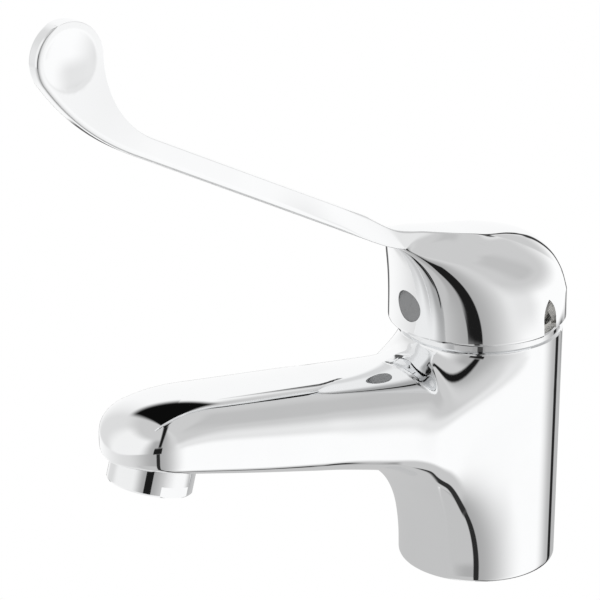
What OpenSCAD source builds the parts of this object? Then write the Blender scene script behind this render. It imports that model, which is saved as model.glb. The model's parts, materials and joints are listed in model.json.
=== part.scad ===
// Single-lever basin tap with a long elbow lever.
// Millimetres. The deck is the plane z = 0 and the cartridge axis is the z axis.
// The spout and the lever point along -y. In functions, r is the forward distance -y.

/* [Column] */
// Radius of the column at the deck
base_r = 24; // [23:0.25:26]
// Radius of the column at its top
top_r = 24.9; // [24.4:0.05:25.2]
// Height of the body's top face above the deck
body_h = 75; // [72:0.5:80]
// Rounding of the edge at the deck
base_edge = 1.3; // [0.5:0.1:3]
// Depth of the groove for the deck gasket
gasket_h = 2; // [1.5:0.1:3]

/* [Spout] */
// Forward distance from the cartridge axis to the outlet's lower rim
reach = 122.9; // [110:0.5:135]
// Height of the outlet's lower rim at its centre
outlet_h = 56.5; // [54:0.25:59]
// Forward lean of the outlet's axis in degrees
outlet_tilt = 15.4; // [13:0.2:18]
// Half of the spout's width at the nose
nose_r = 16.5; // [15.5:0.25:19]
// Length of the nose past the outlet's centre
nose_over = 14.2; // [13.5:0.2:18]
// Half of the spout's width at the column
root_r = 21.5; // [18:0.25:23]
// Rise of the spout's top for each unit forward
top_slope = 0.134; // [0.1:0.002:0.17]
// Depth of the spout's top below the column's top face, at the column
root_drop = 3; // [2:0.25:5]
// Height at which the fillet under the spout starts
fillet_z = 4; // [3:0.5:10]
// Forward length of the fillet under the spout
fillet_r = 29; // [24:0.5:34]
// Radius of the waterway in the spout
water_r = 4.5; // [3.5:0.25:4.75]

/* [Outlet] */
// Outer radius of the aerator's housing
aerator_r = 12.2; // [11.8:0.1:13]
// Height of the aerator below the spout
aerator_show = 6.6; // [5:0.2:8]
// Height of the aerator's thread in the spout
aerator_deep = 7; // [5:0.5:8]
// Radius of the aerator's thread
aerator_thread = 11; // [10.5:0.1:11.3]

/* [Cartridge] */
// Outer radius of the cartridge
cart_r = 17.5; // [17:0.1:18]
// Height of the socket's floor
socket_z = 46; // [45:0.5:46.5]
// Height of the axis on which the lever tilts
pivot_z = 71.5; // [71:0.1:72]
// Radius of the tilt pin
pin_r = 2; // [1.5:0.1:2.5]
// Side of the spindle's square
spindle_w = 8; // [7:0.25:9]
// Radius of the thread of the nut that holds the cartridge
nut_r = 20.5; // [20:0.1:21]
// Height of the trim ring
ring_h = 2.5; // [2:0.1:3]
// Outer radius of the trim ring
ring_r = 24.1; // [23.5:0.1:24.2]

/* [Lever] */
// Radius of the cap
cap_r = 26.8; // [26.6:0.1:28]
// Forward shift of the cap's round wall from the cartridge axis
cap_shift = 1.3; // [1:0.1:1.4]
// Radius of the hollow in the cap
hollow_r = 24.3; // [24.2:0.05:24.5]
// Gap between the trim ring and the cap's rim
rim_gap = 0.5; // [0.4:0.05:1]
// Slope of the lever's bar in degrees
bar_slope = 27.2; // [24:0.2:30]
// Depth of the lever's bar, square to its slope
bar_d = 6.1; // [5:0.1:8]
// Thickness of the lever's bar
bar_w = 6; // [5:0.25:8]
// Forward distance to the middle of the paddle
paddle_y = 145.6; // [140:0.5:160]
// Height of the middle of the paddle
paddle_z = 183.6; // [178:0.5:190]
// Radius of the paddle
paddle_r = 10.2; // [9:0.2:12]
// Thickness of the paddle
paddle_w = 4.6; // [4:0.1:6]
// Radius of the round dish in each face of the paddle
dish_r = 8.2; // [6:0.2:9]
// Depth of that dish
dish_d = 0.8; // [0.3:0.1:1.2]
// Radius of the indicator plug
plug_r = 4.9; // [4:0.1:5.5]

/* [Hidden] */
$fn = 64;

// Length by which a cut passes its face
over = 0.5;
// Clearance between screwed or seated pieces
fit = 0.05;

function mix(a, b, t) = a + (b - a) * t;
function clamp01(t) = min(1, max(0, t));
function ease(t) = let (c = clamp01(t)) c * c * (3 - 2 * c);
function round_max(a, b, n) = pow(pow(a, n) + pow(b, n), 1 / n);
function root(x) = sqrt(max(0, x));
// Places between two values, closer together towards both ends
function close_ends(j, n) = (1 - cos(180 * j / n)) / 2;

// A symmetric skin from rows of half sections.
// Each row is a list of [x, y, z] with x >= 0, and its mirror image closes the skin.
module skin(rows) {
    nu = len(rows);
    nv = len(rows[0]);
    half = nu * nv;
    all = [for (row = rows) each row];
    points = concat(all, [for (p = all) [-p[0], p[1], p[2]]]);
    flat = 0.001;
    function right(i, j) = i * nv + j;
    function left(i, j) = rows[i][j][0] < flat ? right(i, j) : half + i * nv + j;
    function thin(a, b, c) = a == b || b == c || a == c || max(abs(points[a][0]), abs(points[b][0]), abs(points[c][0])) < flat;
    function quad(a, b, c, d) = concat(thin(a, b, c) ? [] : [[c, b, a]], thin(a, c, d) ? [] : [[d, c, a]]);
    sides = [for (i = [0:nu - 2], j = [0:nv - 2]) each concat(
        quad(right(i, j), right(i, j + 1), right(i + 1, j + 1), right(i + 1, j)),
        quad(left(i, j), left(i + 1, j), left(i + 1, j + 1), left(i, j + 1)))];
    low = [for (i = [0:nu - 2]) each
        quad(right(i, 0), right(i + 1, 0), left(i + 1, 0), left(i, 0))];
    high = [for (i = [0:nu - 2]) each
        quad(right(i, nv - 1), left(i, nv - 1), left(i + 1, nv - 1), right(i + 1, nv - 1))];
    start = [for (j = [0:nv - 2]) each
        quad(right(0, j), left(0, j), left(0, j + 1), right(0, j + 1))];
    end = [for (j = [0:nv - 2]) each
        quad(right(nu - 1, j), right(nu - 1, j + 1), left(nu - 1, j + 1), left(nu - 1, j))];
    polyhedron(points, concat(sides, low, high, start, end), convexity = 8);
}

// Body skin: contours in the side view, then the half width at each place

lip_slope = tan(outlet_tilt);
seat_r = reach - aerator_show * sin(outlet_tilt);
seat_z = outlet_h + aerator_show * cos(outlet_tilt);
nose_end = seat_r + nose_over;
nose_fall = 16;
nose_top = seat_r - nose_fall;
nose_face = 3;
collar = 8;
collar_end = top_r + collar;
root_top = body_h - root_drop;
fillet_end = base_r + fillet_r;
fillet_bend = 1.9;
// Fullness of the spout's upper half, and of its lower half, which gets a sharper edge towards the nose
top_bulge = 2.3;
mid_r = reach / 2;
function low_bulge(r) = mix(4, 8, ease((r - mid_r) / (seat_r - mid_r)));
// Depth of the column's round front at the spout, and narrowing of its sides for each unit forward
front_d = 20;
side_taper = 0.12;
function column_r(z) = mix(base_r, top_r, clamp01(z / body_h));
function lip_z(r) = seat_z + lip_slope * (r - seat_r);
function ridge_line(r) = root_top + top_slope * (r - collar_end);
wall_r = column_r(fillet_z);
bend_z = lip_z(wall_r);
lip_start = lip_z(fillet_end);
// The curve from the column's front wall to the spout's underside, t from 0 to 1
function fillet_point(t) = [wall_r + (fillet_end - wall_r) * pow(t, fillet_bend),
    (1 - t) * (1 - t) * fillet_z + 2 * t * (1 - t) * bend_z + t * t * lip_start];
// Place on that curve at a height
function fillet_t(z) =
    let (a = fillet_z - 2 * bend_z + lip_start, b = 2 * (bend_z - fillet_z), c = fillet_z - z)
    clamp01((-b + root(b * b - 4 * a * c)) / (2 * a));
// How far the sections have come back from the spout's root to the column's round top
function top_share(z) = ease((z - root_top + 18) / 19.5);
// Forward reach of the column's front at a height
function front_r(z) = z <= fillet_z ? column_r(z)
    : mix(fillet_point(fillet_t(min(z, lip_start)))[0], column_r(z), top_share(z));
function spout_top(r) = r < nose_top ? ridge_line(r)
    : let (t = clamp01((r - nose_top) / (nose_end - nose_top)))
      mix(lip_z(nose_end) + nose_face, ridge_line(r), root(1 - t * t));
function spout_half(r) = r < seat_r
    ? mix(root_r, nose_r, clamp01((r - base_r) / (seat_r - base_r))) * ease((r + 6) / 30)
    : nose_r * root(1 - pow((r - seat_r) / nose_over, 2));
function spout_w(r, z) =
    let (lo = lip_z(r), hi = spout_top(max(r, collar_end)), v = clamp01((z - lo) / (hi - lo)))
    spout_half(r) * root(1 - pow(abs(2 * v - 1), v > 0.5 ? top_bulge : low_bulge(r)));
// The column is round at the back, straight at the sides and round again at its front, which moves forward
function rooted(z) = ease((z - fillet_z) / (lip_start - fillet_z)) * (1 - top_share(z));
function column_w(r, z) = let (q = column_r(z)) r <= 0 ? root(q * q - r * r)
    : let (front = front_r(z), start = max(0, front - mix(q, front_d, rooted(z))))
      (q - side_taper * r * rooted(z)) * root(1 - pow(max(0, r - start) / (front - start), 2));
// The hollow fillet from the column's top face down to the spout's top
collar_w = 16;
collar_bend = 2.4;
collar_deep = 12;
function collar_r(z) = top_r + collar * (1 - pow(clamp01((z - root_top) / root_drop), 1 / collar_bend));
function fillet_w(r, z) = collar_w * ease(r / collar_w) * ease((z - root_top + collar_deep) / collar)
    * root(1 - pow(max(r, 0) / collar_r(z), 2));
function body_w(r, z) = round_max(round_max(column_w(r, z), spout_w(r, z), 14), fillet_w(r, z), 6);

// Stations of the body: [front point, back point, inset], each point as [r, z]
edge_steps = [0, 0.3, 1];
back_steps = 7;
top_steps = 12;
collar_steps = 4;
spout_steps = 10;
nose_steps = 7;
column_stations = concat(
    [for (e = edge_steps) let (z = e * base_edge, i = base_edge - root(base_edge * base_edge - pow(base_edge - z, 2)))
        [[column_r(z) - i, z], [i - column_r(z), z], i]],
    [[[wall_r, fillet_z], [-wall_r, fillet_z], 0]]);
back_path = concat(
    [for (i = [1:back_steps]) let (z = mix(fillet_z, body_h, i / back_steps)) [-column_r(z), z]],
    [for (i = [1:top_steps]) [-top_r * cos(180 * i / top_steps), body_h]],
    [for (i = [1:collar_steps]) let (t = i / collar_steps)
        [mix(top_r, collar_end, t), root_top + root_drop * pow(1 - t, collar_bend)]]);
turn_stations = [for (i = [0:len(back_path) - 1])
    [fillet_point((i + 1) / len(back_path)), back_path[i], 0]];
spout_stations = [for (i = [1:spout_steps])
    let (t = i / spout_steps, a = mix(fillet_end, seat_r, t), b = mix(collar_end, nose_top, t))
    [[a, lip_z(a)], [b, spout_top(b)], 0]];
nose_stations = [for (i = [1:nose_steps])
    let (t = sin(90 * i / nose_steps), a = mix(seat_r, nose_end, t), b = mix(nose_top, nose_end, t))
    [[a, lip_z(a)], [b, spout_top(b)], 0]];
body_cells = 22;
module body_skin() {
    skin([for (s = concat(column_stations, turn_stations, spout_stations, nose_stations))
        [for (j = [0:body_cells])
            let (v = close_ends(j, body_cells), r = mix(s[0][0], s[1][0], v), z = mix(s[0][1], s[1][1], v),
                 w = s[2] > 0 ? root(pow(column_r(z) - s[2], 2) - r * r) : body_w(r, z))
            [j == 0 ? 0 : w, -r, z]]]);
}

// Lever skin: the cap's rim, the crease that bounds the top and the ridge between the creases

ring_top = body_h + ring_h;
rim_z = ring_top + rim_gap;
rim_edge = 1.1;
shoulder = 9.5;
cap_front = cap_r + cap_shift;
cap_back = cap_r - cap_shift;
bar_tan = tan(bar_slope);
bar_n = [-sin(bar_slope), cos(bar_slope)];
bar_v = bar_d / cos(bar_slope);
bend_r = 122;
bend_tip = 138;
join_r = 46;
// The bar's middle line runs up to the bend below the paddle
bend_drop = 28.6;
function bar_mid(r) = paddle_z - bend_drop + bar_tan * (r - paddle_y + 23.6);
function under_bar(r) = bar_mid(r) - bar_v / 2;
function top_bar(r) = bar_mid(r) + bar_v / 2;
top_edge = 0.35;
back_r = -18.4;
// Crease from the back to the bar: [r, half width, height above the rim]
crease = [[back_r, cap_w(back_r), shoulder], [-17.6, 16.6, 14.5], [-14, 15, 19], [-8, 12.2, 23.3], [0, 9.2, 27.2],
    [8, 7.2, 29.3], [16, 6.1, 31.1], [26, 5.3, 33.3], [36, 4.2, top_bar(36) - 0.9 - rim_z],
    [join_r, bar_w / 2 + top_edge, top_bar(join_r) - rim_z]];
// Ridge over the middle of the cap: [r, height above the rim]
ridge = [[-cap_back, shoulder], [-24.5, 15], [-21.5, 20], [-15, 24.6], [-6, 27.6], [4, 29.4], [14, 31.2],
    [26, 33.8], [36, top_bar(36) - 0.4 - rim_z], [join_r, top_bar(join_r) + top_edge - rim_z]];
// Smooth curve through a list of points, u from 0 to 1
function smooth(p, u) =
    let (n = len(p) - 1, x = clamp01(u) * n, i = min(floor(x), n - 1), t = x - i,
         a = p[max(i - 1, 0)], b = p[i], c = p[i + 1], d = p[min(i + 2, n)])
    (2 * b + (c - a) * t + (2 * a - 5 * b + 4 * c - d) * t * t + (3 * b - a - 3 * c + d) * t * t * t) / 2;
function cap_w(r, inset = 0) = root(pow(cap_r - inset, 2) - pow(r - cap_shift, 2));
// Rise of an arc of half chord w and height h, at the share s of the half chord
function arc_rise(s, w, h) = h < 0.001 || w < 0.001 ? 1 - s
    : let (q = (w * w + h * h) / (2 * h)) (root(q * q - w * w * s * s) - q + h) / h;
function dish(r, z) = dish_d * max(0, 1 - (pow(r - paddle_y, 2) + pow(z - paddle_z, 2)) / (dish_r * dish_r));

// The soft edge runs over the cap from the rim to the bar, between the round front and the leaning side
edge_turn = 48.3;
edge_rise = 30;
edge_w = cap_r * sin(edge_turn);
edge_drop = 1 - cos(edge_turn);
root_w = 4.2;
edge_last = acos(root_w / edge_w);
front_lean = 7.3;
lean_bend = 2.5;
back_share = 0.3;
crease_share = 0.91;
crown = 0.06;
// Middle and weight of the arc from edge b to crease c, which leaves the front without a break
function side_arc(b, c, share) =
    let (d = c - b, flat = max(norm([d[0], d[1]]), 0.001),
         turn = clamp01(abs(d[0] * sin(edge_turn) + d[1] * cos(edge_turn)) / flat),
         weight = max(0.5, root(1 - turn * turn)),
         go = flat / (2 * weight) * [cos(edge_turn), -sin(edge_turn), 0])
    [mix((b + c) / 2, b + go, share), mix(1, weight, share)];

// Stations of the lever: [front, edge, crease, ridge, share of the side's roundness, share of the dish].
// Front and ridge are [r, z], edge and crease are [half width, r, z].
rim_steps = [0, 0.3, 1];
cap_steps = 26;
root_steps = 7;
bar_steps = 7;
bend_steps = 11;
tip_steps = 6;
rim_stations = [for (e = rim_steps)
    let (z = rim_z + e * rim_edge, q = cap_r - rim_edge + root(rim_edge * rim_edge * (1 - pow(1 - e, 2))), k = q / cap_r)
    [[cap_shift + q, z], [q * sin(edge_turn), cap_shift + q * cos(edge_turn), z],
     [cap_w(back_r) * k, cap_shift + (back_r - cap_shift) * k, z], [cap_shift - q, z], 1, 0]];
function wall_r_at(f) = cap_front + front_lean * pow(sin(f), lean_bend);
cap_stations = [for (i = [1:cap_steps])
    let (s = i / cap_steps, f = edge_last * s, q = cap_r * cos(f), front = wall_r_at(f),
         z = rim_z + max(rim_edge, edge_rise * sin(f)), low = s <= back_share,
         u = max(0, (s - back_share) / (1 - back_share)) * crease_share, c = smooth(crease, u), k = smooth(ridge, u),
         back_z = rim_z + mix(rim_edge, shoulder, s / back_share))
    [[front, z], [q * sin(edge_turn), front - q * edge_drop, z], [c[1], c[0], low ? back_z : rim_z + c[2]],
     [k[0], low ? back_z : rim_z + k[1]], 1 - ease((s - 0.7) / 0.3), 0]];
wall_end = wall_r_at(edge_last);
wall_top = rim_z + edge_rise * sin(edge_last);
edge_back = cap_r * cos(edge_last) * edge_drop;
root_stations = [for (i = [1:root_steps])
    let (u = i / root_steps, r = mix(wall_end, join_r, u),
         z = under_bar(r) + (wall_top - under_bar(wall_end)) * pow(1 - u, 2),
         v = mix(crease_share, 1, u), c = smooth(crease, v), k = smooth(ridge, v))
    [[r, z] - bar_n * crown * u, [mix(root_w, bar_w / 2, ease(2 * u)), r - edge_back * pow(1 - u, 4), z],
     [c[1], c[0], rim_z + c[2]], [k[0], rim_z + k[1]], 0, 0]];
bar_stations = [for (i = [1:bar_steps])
    let (m = mix(join_r, bend_r, i / bar_steps), s = ease(4 * i / bar_steps), k = s * bar_d / 2,
         a = m - bar_n[0] * k, d = m + bar_n[0] * k, low = [a, under_bar(a)], high = [d, top_bar(d)])
    [low - bar_n * crown, [bar_w / 2, each low], [bar_w / 2 + top_edge * (1 - s), each high],
     high + bar_n * top_edge, 0, 0]];
// A station of the blade: its middle, its direction across, its half depth and its half thickness
function blade(p, n, h, w, edge) =
    [p - n * (h + crown), [w, each p - n * h], [w, each p + n * h], p + n * (h + edge), 0, 1];
bend_0 = [bend_r, bar_mid(bend_r)];
bend_1 = [bend_tip, bar_mid(bend_tip)];
bend_2 = [paddle_y, paddle_z];
function turned(v) = [-v[1], v[0]] / norm(v);
bend_stations = [for (i = [1:bend_steps])
    let (t = i / bend_steps,
         p = (1 - t) * (1 - t) * bend_0 + 2 * t * (1 - t) * bend_1 + t * t * bend_2,
         n = turned((1 - t) * (bend_1 - bend_0) + t * (bend_2 - bend_1)))
    blade(p, n, mix(bar_d / 2, paddle_r, pow(t, 1.7)), mix(bar_w, paddle_w, ease(t)) / 2, top_edge)];
tip_n = turned(bend_2 - bend_1);
tip_d = [tip_n[1], -tip_n[0]];
tip_turn = 88;
tip_stations = [for (i = [1:tip_steps])
    let (a = tip_turn * i / tip_steps)
    blade(bend_2 + tip_d * paddle_r * sin(a), tip_n, paddle_r * cos(a), paddle_w / 2, top_edge * cos(a))];
front_cells = 5;
side_cells = 13;
top_cells = 5;
module lever_skin() {
    skin([for (s = concat(rim_stations, cap_stations, root_stations, bar_stations, bend_stations, tip_stations))
        let (l = s[0], b = s[1], c = s[2], k = s[3], m = side_arc(b, c, s[4]), high = norm([k[0] - c[1], k[1] - c[2]]))
        concat(
            [for (j = [0:front_cells - 1])
                let (a = edge_turn * j / front_cells, g = (1 - cos(a)) / edge_drop)
                [b[0] * sin(a) / sin(edge_turn), -mix(l[0], b[1], g), mix(l[1], b[2], g)]],
            [for (j = [0:side_cells])
                let (v = close_ends(j, side_cells), f = (1 - v) * (1 - v), g = 2 * v * (1 - v) * m[1], h = v * v,
                     p = (f * b + g * m[0] + h * c) / (f + g + h))
                [p[0] - s[5] * dish(p[1], p[2]), -p[1], p[2]]],
            [for (j = [1:top_cells])
                let (q = cos(90 * j / top_cells), f = arc_rise(q, c[0], high))
                [j == top_cells ? 0 : c[0] * q, -mix(c[1], k[0], f), mix(c[2], k[1], f)]])]);
}

// Heights and sizes of the inner pieces, from the deck upwards

wall = 2;
inlet_x = 7;
inlet_y = 4;
inlet_r = 4.5;
inlet_h = 14;
stud_y = -13;
stud_r = 3.4;
stud_h = 22;
port_r = 2.3;
outlet_y = -8;
seal_h = 1.6;
seal_w = 1.5;
seat_h = 4;
disc_h = 3;
carrier_h = 4;
seat_top = socket_z + seat_h;
fixed_top = seat_top + disc_h;
moving_top = fixed_top + disc_h;
carrier_top = moving_top + carrier_h;
// Free play of the turning pieces
play = 0.2;
rotor_z = carrier_top + 0.5;
rotor_h = 6.5;
neck_z = rotor_z + rotor_h;
house_h = 2.3;
house_top = neck_z + play + house_h;
house_in = cart_r - 1.8;
rotor_r = house_in - 0.3;
neck_r = 11.1;
neck_top = pivot_z + 4;
moving_r = 10.6;
rib_x = 7.5;
rib_h = 2;
rib_w = 2;
rib_end = 5;
ball_r = 2.6;
ball_z = carrier_top - 0.4;
arm_r = 2.2;
shank_w = 6;
square_up = 7;
square_z = pivot_z + square_up;
spindle_up = 18.8;
spindle_top = rim_z + spindle_up;
nut_grip = 6;
nut_low = house_top - nut_grip;
nut_in = 13.6;
flange_r = 22.3;
flange_h = 1.8;
dome_h = 5.7;
boss_r = 7.8;
boss_up = 4.5;
boss_z = rim_z + boss_up;
hollow_wall = 3;
hollow_z = rim_z + hollow_wall;
hollow_h = 19;
hollow_top = rim_z + hollow_h;
hollow_tip = 10;
tail_lift = 1.5;
notch_y = 4.6;
notch_w = 6;
notch_h = 11;
plug_up = 9.5;
plug_z = rim_z + plug_up;
plug_in = 0.2;
plug_h = 1.1;
stem_r = 3.1;
stem_h = 3.2;
grub_r = 2.5;
gasket_in = 18.9;
gasket_out = 22.1;
seat_deep = 3;
washer_h = 1.6;
insert_r = 9.65;
lip_h = 1.2;
screen_h = 1.2;
insert_h = 7.2;
flat_x = 11.3;
flat_h = 3.2;

// A tube from z = a to z = b
module tube(ro, ri, a, b) {
    rotate_extrude() translate([ri, a]) square([ro - ri, b - a]);
}
// A rod from z = a to z = b
module rod(r, a, b) {
    translate([0, 0, a]) cylinder(r = r, h = b - a);
}
// A block centred in x and running from y0 to y1 and from z0 to z1
module block(w, y0, y1, z0, z1) {
    translate([-w / 2, y0, z0]) cube([w, y1 - y0, z1 - z0]);
}
// Its children turned so that z points to the back
module to_back() {
    rotate([-90, 0, 0]) children();
}
// Its children in the frame of the outlet, z along its axis, up from the seat
module at_outlet() {
    translate([0, -seat_r, seat_z]) rotate([-outlet_tilt, 0, 0]) children();
}
// Its children at the three ports of the cartridge
module at_ports() {
    for (x = [-inlet_x, inlet_x]) translate([x, inlet_y, 0]) children();
    translate([0, outlet_y, 0]) children();
}

// The straight waterway from below the cartridge to the outlet
water_r0 = 6;
water_z0 = socket_z - 11.2;
water_end = aerator_deep + washer_h;
water_dy = seat_r - water_end * sin(outlet_tilt) - water_r0;
water_dz = seat_z + water_end * cos(outlet_tilt) - water_z0;
module waterway() {
    translate([0, -water_r0, water_z0]) rotate([90 - atan2(water_dz, water_dy), 0, 0])
        cylinder(r = water_r, h = norm([water_dy, water_dz]));
}

// The cast body: column, spout, sockets and waterway
module body() {
    color("gainsboro") difference() {
        body_skin();
        rod(cart_r + fit, socket_z, body_h + over);
        rod(nut_r + fit, nut_low - over, body_h + over);
        tube(gasket_out, gasket_in, -over, gasket_h);
        for (x = [-inlet_x, inlet_x]) translate([x, inlet_y, 0]) {
            rod(inlet_r, -over, inlet_h);
            rod(port_r, inlet_h - over, socket_z + over);
        }
        translate([0, stud_y, 0]) rod(stud_r, -over, stud_h);
        translate([0, outlet_y, 0]) rod(port_r, water_z0, socket_z + over);
        waterway();
        at_outlet() {
            rod(aerator_r + fit, -wall, seat_deep);
            rod(aerator_thread + fit, 0, aerator_deep + washer_h);
        }
    }
}

// The rubber ring that seals the body to the deck
module base_gasket() {
    color("dimgray") tube(gasket_out - fit, gasket_in + fit, 0, gasket_h);
}

// The chromed ring that screws into the spout
module aerator_housing() {
    bevel = 0.6;
    bore = insert_r + fit;
    color("silver") at_outlet() difference() {
        rotate_extrude() polygon([[bore - lip_h / 2, -aerator_show], [aerator_r - bevel, -aerator_show],
            [aerator_r, bevel - aerator_show], [aerator_r, seat_deep], [aerator_thread, seat_deep],
            [aerator_thread, aerator_deep], [bore, aerator_deep], [bore, lip_h - aerator_show],
            [bore - lip_h / 2, lip_h - aerator_show]]);
        for (x = [-1, 1]) translate([x * (flat_x + aerator_r), 0, flat_h / 2 - aerator_show - over])
            cube([2 * aerator_r, 3 * aerator_r, flat_h + 2 * over], center = true);
    }
}

// The plastic mesh that the water leaves through
module aerator_screen() {
    hole_r = 0.75;
    pitch = 2.6;
    rings = 3;
    z = lip_h - aerator_show;
    color("white") at_outlet() difference() {
        rod(insert_r, z, z + screen_h);
        for (k = [0:rings], i = [0:max(1, 6 * k) - 1]) rotate(i * 360 / max(1, 6 * k))
            translate([k * pitch, 0, 0]) cylinder(r = hole_r, h = 4 * aerator_show, center = true, $fn = 16);
    }
}

// The plastic insert that mixes air into the water
module aerator_insert() {
    holes = 12;
    z = lip_h + screen_h - aerator_show;
    color("white") at_outlet() difference() {
        rod(insert_r, z, z + insert_h);
        rod(insert_r - wall, z - over, z + insert_h - wall);
        for (i = [1:holes]) rotate(i * 360 / holes) translate([insert_r / 2, 0, 0])
            rod(0.8, z, z + insert_h + over);
    }
}

// The rubber washer above the aerator
module aerator_washer() {
    color("dimgray") at_outlet() tube(aerator_thread - fit, water_r + wall, aerator_deep, aerator_deep + washer_h);
}

// The cartridge's foot with its three ports
module cartridge_base() {
    color("white") difference() {
        rod(cart_r, socket_z, seat_top);
        at_ports() {
            rod(port_r, socket_z - over, seat_top + over);
            rod(port_r + seal_w + fit, socket_z - over, socket_z + seal_h);
        }
    }
}

// The rubber rings between the ports and the socket's floor
module port_seals() {
    color("dimgray") at_ports() tube(port_r + seal_w, port_r + fit, socket_z, socket_z + seal_h);
}

// The cartridge's cup
module cartridge_housing() {
    color("ivory") rotate_extrude() polygon([[cart_r, seat_top], [cart_r, house_top], [neck_r + play, house_top],
        [neck_r + play, house_top - house_h], [house_in, house_top - house_h], [house_in, seat_top]]);
}

// The ceramic disc with the ports
module fixed_disc() {
    color("ghostwhite") difference() {
        rod(house_in - fit, seat_top, fixed_top);
        at_ports() rod(port_r, seat_top - over, fixed_top + over);
    }
}

// The ceramic disc that slides over the ports
module moving_disc() {
    chamber_r = 5;
    color("ghostwhite") difference() {
        rod(moving_r, fixed_top, moving_top);
        translate([0, outlet_y / 3, 0]) rod(chamber_r, fixed_top - over, fixed_top + disc_h / 2);
    }
}

// The carrier that the spindle's ball moves, guided by two ribs
module disc_carrier() {
    color("steelblue") difference() {
        union() {
            rod(moving_r - play, moving_top, carrier_top);
            for (x = [-rib_x, rib_x]) translate([x, 0, 0]) block(rib_w, -rib_end, rib_end, moving_top, carrier_top + rib_h);
        }
        rod(ball_r + play, moving_top + 0.8, carrier_top + over);
    }
}

// The rotor that turns in the cup and holds the tilt pin
module rotor() {
    color("white") difference() {
        union() {
            rod(rotor_r, rotor_z, neck_z);
            rod(neck_r, neck_z - over, neck_top);
        }
        tube(neck_r + over, neck_r - seal_w + fit, neck_z + 2 * play, neck_z + 2 * play + seal_h);
        block(shank_w + 2 * play, -7.2, 3.4, rotor_z - over, neck_z);
        block(shank_w + 2 * play, -4.7, 4.7, neck_z - over, neck_top + over);
        for (x = [-rib_x, rib_x]) translate([x, 0, 0])
            block(rib_w + 2 * play, -rotor_r, rotor_r, rotor_z - over, carrier_top + rib_h + play);
        translate([0, 0, pivot_z]) rotate([0, 90, 0]) cylinder(r = pin_r + 0.02, h = 3 * neck_r, center = true);
    }
}

// The rubber ring between the rotor and the cup
module rotor_seal() {
    color("dimgray") tube(neck_r + play / 2, neck_r - seal_w + 2 * fit, neck_z + 2 * play + fit, neck_z + 2 * play + seal_h - fit);
}

// The pin on which the spindle tilts
module spindle_pin() {
    color("silver") translate([0, 0, pivot_z]) rotate([0, 90, 0])
        cylinder(r = pin_r, h = 2 * neck_r - 1, center = true);
}

// The brass spindle: square above, eye at the pin, ball below
module spindle() {
    color("goldenrod") difference() {
        union() {
            block(spindle_w, -spindle_w / 2, spindle_w / 2, square_z, spindle_top);
            block(shank_w, -shank_w / 2, shank_w / 2, pivot_z, square_z + over);
            translate([0, 0, pivot_z]) rotate([0, 90, 0]) cylinder(r = pin_r + wall, h = shank_w, center = true);
            rod(arm_r, ball_z, pivot_z - pin_r - 1);
            translate([0, 0, ball_z]) sphere(r = ball_r);
        }
        translate([0, 0, pivot_z]) rotate([0, 90, 0]) cylinder(r = pin_r + 0.06, h = 3 * shank_w, center = true);
    }
}

// The brass nut that holds the cartridge, with its domed head
module retaining_nut() {
    head = ring_top + flange_h;
    color("darkgoldenrod") rotate_extrude() polygon([[cart_r + fit, nut_low], [nut_r, nut_low], [nut_r, ring_top],
        [flange_r, ring_top], [flange_r, head], [nut_r, head], [nut_r - 0.6, head + dome_h / 2],
        [nut_r - 2, head + 0.8 * dome_h], [nut_r - 4, head + dome_h], [nut_in, head + dome_h], [nut_in, house_top + wall],
        [neck_r + 2 * play, house_top + wall], [neck_r + 2 * play, house_top], [cart_r + fit, house_top]]);
}

// The bright ring between the body and the lever's cap
module trim_ring() {
    bevel = 0.4;
    color("silver") rotate_extrude() polygon([[nut_r + fit, body_h], [ring_r - bevel, body_h], [ring_r, body_h + bevel],
        [ring_r, ring_top - bevel], [ring_r - bevel, ring_top], [nut_r + fit, ring_top]]);
}

// A pointed arch of a width and a height, upright in x and y
module arch(w, h) {
    spring = h - w;
    translate([-w / 2, -w]) square([w, w + spring]);
    translate([0, spring]) intersection_for (x = [-1, 1]) translate([x * 0.75 * w, 0]) circle(r = 1.25 * w);
}

// The cast lever: cap, bar and paddle
module lever_handle() {
    color("gainsboro") difference() {
        lever_skin();
        rotate_extrude() polygon([[0, rim_z - over], [hollow_r, rim_z - over], [hollow_r, hollow_z],
            [hollow_tip, hollow_top], [boss_r, hollow_top], [boss_r, boss_z], [0, boss_z]]);
        block(spindle_w + 2 * fit, -spindle_w / 2 - fit, spindle_w / 2 + fit, boss_z - over, spindle_top + fit);
        block(3 * cap_r, notch_y, 2 * cap_r, rim_z - over, rim_z + tail_lift);
        for (x = [-1, 1]) translate([x * cap_r, notch_y, rim_z]) rotate([90, 0, 90])
            linear_extrude(height = cap_r / 2, center = true) arch(notch_w, notch_h);
        translate([0, 0, plug_z]) to_back() {
            rod(plug_r + fit, -2 * cap_front, plug_in + plug_h - cap_front);
            rod(stem_r + fit, -cap_front, -hollow_tip);
            rod(grub_r + fit, -hollow_tip, -spindle_w / 2);
        }
    }
}

// The screw that clamps the lever to the spindle
module grub_screw() {
    key_r = 1.5;
    color("dimgray") translate([0, 0, plug_z]) to_back() difference() {
        rod(grub_r, -boss_r, -spindle_w / 2);
        translate([0, 0, -boss_r - over]) cylinder(r = key_r, h = wall, $fn = 6);
    }
}

// The grey plug that covers the way to that screw
module indicator_plug() {
    color("gray") translate([0, 0, plug_z]) to_back() {
        rod(plug_r, plug_in - cap_front, plug_in + plug_h - cap_front);
        rod(stem_r, plug_in - cap_front, plug_in + plug_h + stem_h - cap_front);
    }
}

body();
base_gasket();
aerator_housing();
aerator_insert();
aerator_screen();
aerator_washer();
cartridge_base();
port_seals();
cartridge_housing();
fixed_disc();
moving_disc();
disc_carrier();
rotor();
rotor_seal();
spindle_pin();
spindle();
retaining_nut();
trim_ring();
lever_handle();
grub_screw();
indicator_plug();
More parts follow.
